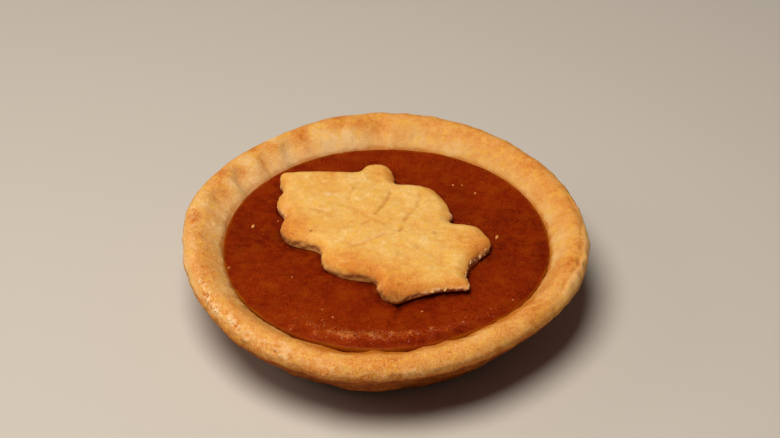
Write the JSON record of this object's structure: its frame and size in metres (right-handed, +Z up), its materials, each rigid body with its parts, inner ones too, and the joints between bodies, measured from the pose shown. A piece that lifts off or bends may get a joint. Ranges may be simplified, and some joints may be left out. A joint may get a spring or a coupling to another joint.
{
  "type": "pumpkin pie",
  "caption": "Small open pumpkin pie: bare shortcrust shell with a rounded rim, smooth custard filling and an oak-leaf pastry biscuit laid on top.",
  "frame": {"origin": "centre of the pastry shell's flat underside, on the surface the pie stands on", "axes": "+Z up out of the filling, +Y to the back of the pie, where the leaf's tip lies at the left"},
  "size_m": [0.1194, 0.1206, 0.027],
  "materials": {
    "pastry": "matte baked shortcrust, golden with a browner crest",
    "custard": "satin baked pumpkin custard, deep reddish brown",
    "biscuit": "matte baked shortcrust, pale golden with browner lobes"
  },
  "bodies": {
    "root": {"crust": "pastry", "filling": "custard", "leaf": "biscuit"}
  },
  "joints": []
}
